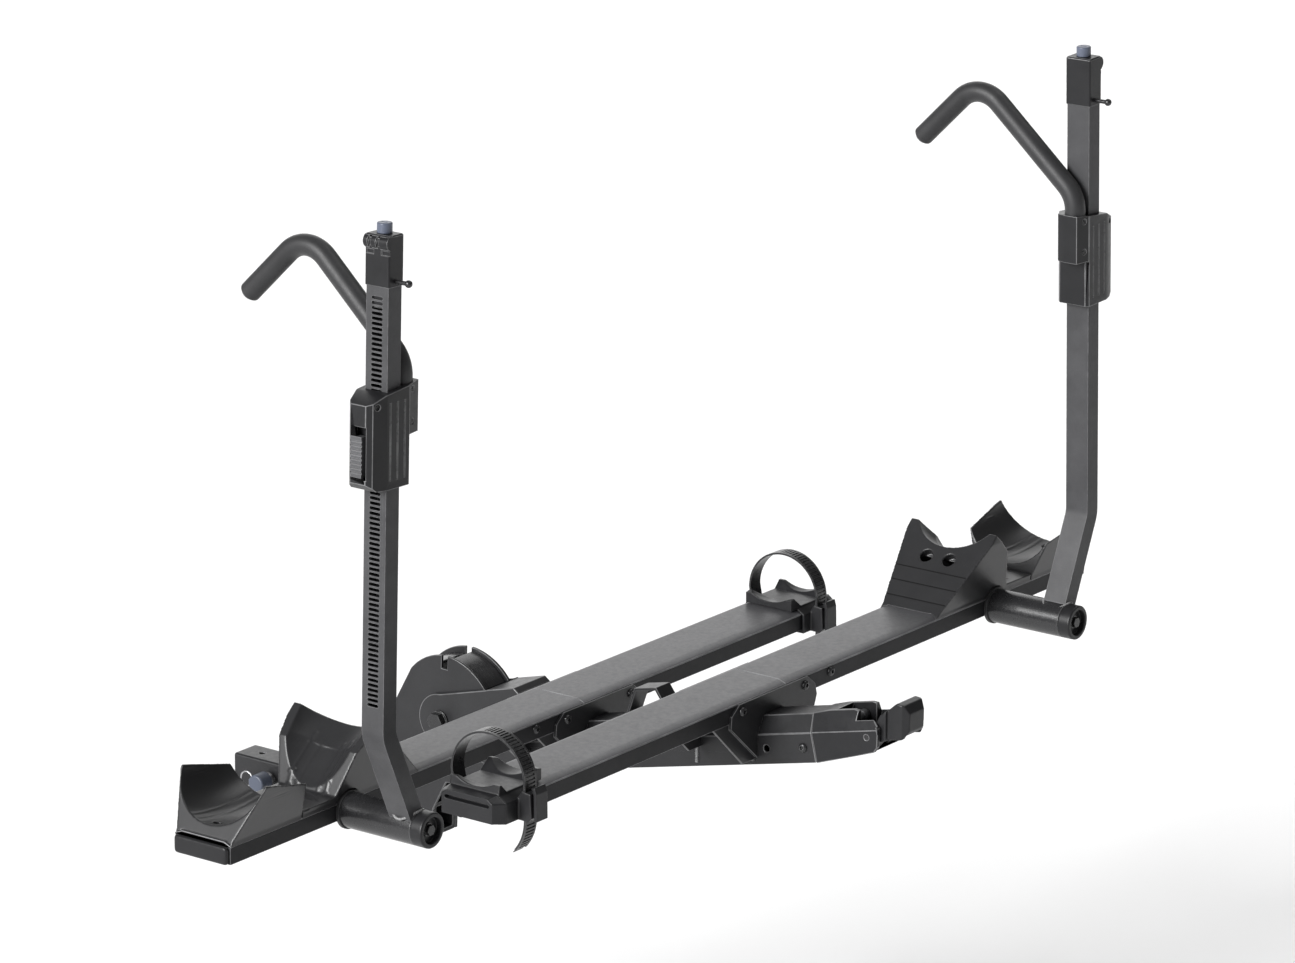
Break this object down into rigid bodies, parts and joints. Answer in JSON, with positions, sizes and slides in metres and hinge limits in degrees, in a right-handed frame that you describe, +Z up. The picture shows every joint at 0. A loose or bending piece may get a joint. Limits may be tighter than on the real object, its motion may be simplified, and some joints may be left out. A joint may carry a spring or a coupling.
{
  "type": "hitch mounted bike rack",
  "caption": "Platform bike rack for a vehicle's receiver hitch: trays with wheel chocks, folding masts with sliding hooks, strap cradles, and a tilting spine with a release handle.",
  "frame": {"origin": "centre of the hitch pin's hole in the receiver shank, on the shank's axis", "axes": "+Y along the shank into the vehicle's receiver, +X along the trays towards the outer tray's wheel chock, +Z up"},
  "size_m": [1.626, 1.231, 1.1782],
  "materials": {
    "frame_black": "satin black powder coat on welded steel",
    "tray_graphite": "graphite powder-coated aluminium",
    "mast_graphite": "graphite powder-coated steel tube",
    "plastic_black": "fine-grained black nylon",
    "plastic_sheen": "moulded black plastic with a soft sheen",
    "plastic_grey": "moulded dark grey plastic",
    "knob_blue": "blue-grey moulded plastic",
    "rubber_coat": "rubber over-moulding",
    "hardware_black": "black plated steel",
    "steel_bare": "plain steel",
    "bush_bronze": "sintered bronze"
  },
  "bodies": {
    "hitch": {"stinger": "frame_black", "fork_plates": "frame_black", "fork_web": "frame_black", "pivot_bush": "bush_bronze"},
    "hitch_lock": {"hitch_bolt": "hardware_black", "hitch_knob": "knob_blue", "lanyard_ring": "steel_bare"},
    "frame": {"spine_beam": "frame_black", "tilt_bolt": "hardware_black", "bracket_a": "frame_black", "bracket_b": "frame_black", "hoop": "frame_black", "frame_bolts": "hardware_black", "pivot_bolts": "hardware_black", "handle_housing": "plastic_black", "lever_pin": "steel_bare", "tray_a": "tray_graphite", "tray_cover_a": "tray_graphite", "chock_a": "plastic_sheen", "cradle_a": "plastic_sheen", "end_cap_a": "plastic_black", "pivot_axle_a": "steel_bare", "pivot_seal_a": "rubber_coat", "pivot_cap_a": "plastic_grey", "tray_b": "tray_graphite", "tray_cover_b": "tray_graphite", "chock_b": "plastic_sheen", "cradle_b": "plastic_sheen", "end_cap_b": "plastic_black", "pivot_axle_b": "steel_bare", "pivot_seal_b": "rubber_coat", "pivot_cap_b": "plastic_grey"},
    "lever": {"release_lever": "plastic_black"},
    "latch": {"latch": "steel_bare"},
    "mast_arm_a": {"mast_a": "mast_graphite", "mast_cap_a": "plastic_black", "lock_stud_a": "hardware_black", "pivot_tube_a": "mast_graphite"},
    "hook_carriage_a": {"carriage_a": "plastic_black", "hook_a": "rubber_coat"},
    "squeeze_a": {"button_a": "plastic_grey"},
    "ratchet_pawl_a": {"pawl_a": "steel_bare"},
    "lock_a": {"lock_core_a": "knob_blue"},
    "strap_unit_a": {"strap_sleeve_a": "plastic_black", "sleeve_cap_a": "plastic_black", "strap_a": "plastic_black"},
    "strap_lever_a": {"ratchet_lever_a": "plastic_black"},
    "mast_arm_b": {"mast_b": "mast_graphite", "mast_cap_b": "plastic_black", "lock_stud_b": "hardware_black", "pivot_tube_b": "mast_graphite"},
    "hook_carriage_b": {"carriage_b": "plastic_black", "hook_b": "rubber_coat"},
    "squeeze_b": {"button_b": "plastic_grey"},
    "ratchet_pawl_b": {"pawl_b": "steel_bare"},
    "lock_b": {"lock_core_b": "knob_blue"},
    "strap_unit_b": {"strap_sleeve_b": "plastic_black", "sleeve_cap_b": "plastic_black", "strap_b": "plastic_black"},
    "strap_lever_b": {"ratchet_lever_b": "plastic_black"}
  },
  "joints": [
    {"name": "tilt", "type": "hinge", "parent": "hitch", "child": "frame", "pos_m": [0, -0.3397, 0.1645], "axis": [-1, 0, 0], "range_deg": [-32, 75]},
    {"name": "hitch_lock_turn", "type": "hinge", "parent": "hitch", "child": "hitch_lock", "pos_m": [0, 0, 0], "axis": [1, 0, 0], "continuous": true},
    {"name": "lever_lift", "type": "hinge", "parent": "frame", "child": "lever", "pos_m": [0, -1.1, 0.293], "axis": [-1, 0, 0], "range_deg": [0, 30], "stiffness_Nm_per_rad": 3, "springref_deg": -17.19},
    {"name": "latch_pull", "type": "slide", "parent": "frame", "child": "latch", "axis": [0, -0.9744, 0.225], "range_m": [0, 0.0078]},
    {"name": "mast_fold_a", "type": "hinge", "parent": "frame", "child": "mast_arm_a", "pos_m": [-0.5604, -0.7, 0.228], "axis": [0, 1, 0], "range_deg": [0, 84]},
    {"name": "carriage_slide_a", "type": "slide", "parent": "mast_arm_a", "child": "hook_carriage_a", "axis": [0.0339, 0, 0.9994], "range_m": [-0.29, 0.13]},
    {"name": "squeeze_press_a", "type": "slide", "parent": "hook_carriage_a", "child": "squeeze_a", "axis": [0.9994, 0, -0.0339], "range_m": [0, 0.004], "stiffness_N_per_m": 900, "springref_m": -0.004},
    {"name": "pawl_draw_a", "type": "slide", "parent": "hook_carriage_a", "child": "ratchet_pawl_a", "axis": [-0.9994, 0, 0.0339], "range_m": [0, 0.004]},
    {"name": "lock_turn_a", "type": "hinge", "parent": "mast_arm_a", "child": "lock_a", "pos_m": [-0.60114, -0.7105, 1.0741], "axis": [0.0339, 0, 0.9994], "range_deg": [0, 90]},
    {"name": "strap_unit_slide_a", "type": "slide", "parent": "frame", "child": "strap_unit_a", "axis": [1, 0, 0], "range_m": [0, 0.06]},
    {"name": "strap_lever_lift_a", "type": "hinge", "parent": "strap_unit_a", "child": "strap_lever_a", "pos_m": [0.538, -0.6295, 0.2535], "axis": [-1, 0, 0], "range_deg": [0, 60], "stiffness_Nm_per_rad": 0.05, "springref_deg": -17.19},
    {"name": "mast_fold_b", "type": "hinge", "parent": "frame", "child": "mast_arm_b", "pos_m": [0.5604, -1.01, 0.302], "axis": [0, -1, 0], "range_deg": [0, 84]},
    {"name": "carriage_slide_b", "type": "slide", "parent": "mast_arm_b", "child": "hook_carriage_b", "axis": [-0.0339, 0, 0.9994], "range_m": [-0.268, 0.155]},
    {"name": "squeeze_press_b", "type": "slide", "parent": "hook_carriage_b", "child": "squeeze_b", "axis": [-0.9994, 0, -0.0339], "range_m": [0, 0.004], "stiffness_N_per_m": 900, "springref_m": -0.004},
    {"name": "pawl_draw_b", "type": "slide", "parent": "hook_carriage_b", "child": "ratchet_pawl_b", "axis": [0.9994, 0, 0.0339], "range_m": [0, 0.004]},
    {"name": "lock_turn_b", "type": "hinge", "parent": "mast_arm_b", "child": "lock_b", "pos_m": [0.60114, -1.0205, 1.1481], "axis": [-0.0339, 0, 0.9994], "range_deg": [0, 90]},
    {"name": "strap_unit_slide_b", "type": "slide", "parent": "frame", "child": "strap_unit_b", "axis": [-1, 0, 0], "range_m": [-0.03, 0.03]},
    {"name": "strap_lever_lift_b", "type": "hinge", "parent": "strap_unit_b", "child": "strap_lever_b", "pos_m": [-0.568, -0.9395, 0.3275], "axis": [-1, 0, 0], "range_deg": [0, 60], "stiffness_Nm_per_rad": 0.05, "springref_deg": -17.19}
  ],
  "couplings": [
    {"joint": "latch_pull", "follows": "lever_lift", "m_per_rad": 0.0146},
    {"joint": "pawl_draw_a", "follows": "squeeze_press_a", "ratio": 1},
    {"joint": "pawl_draw_b", "follows": "squeeze_press_b", "ratio": 1}
  ]
}
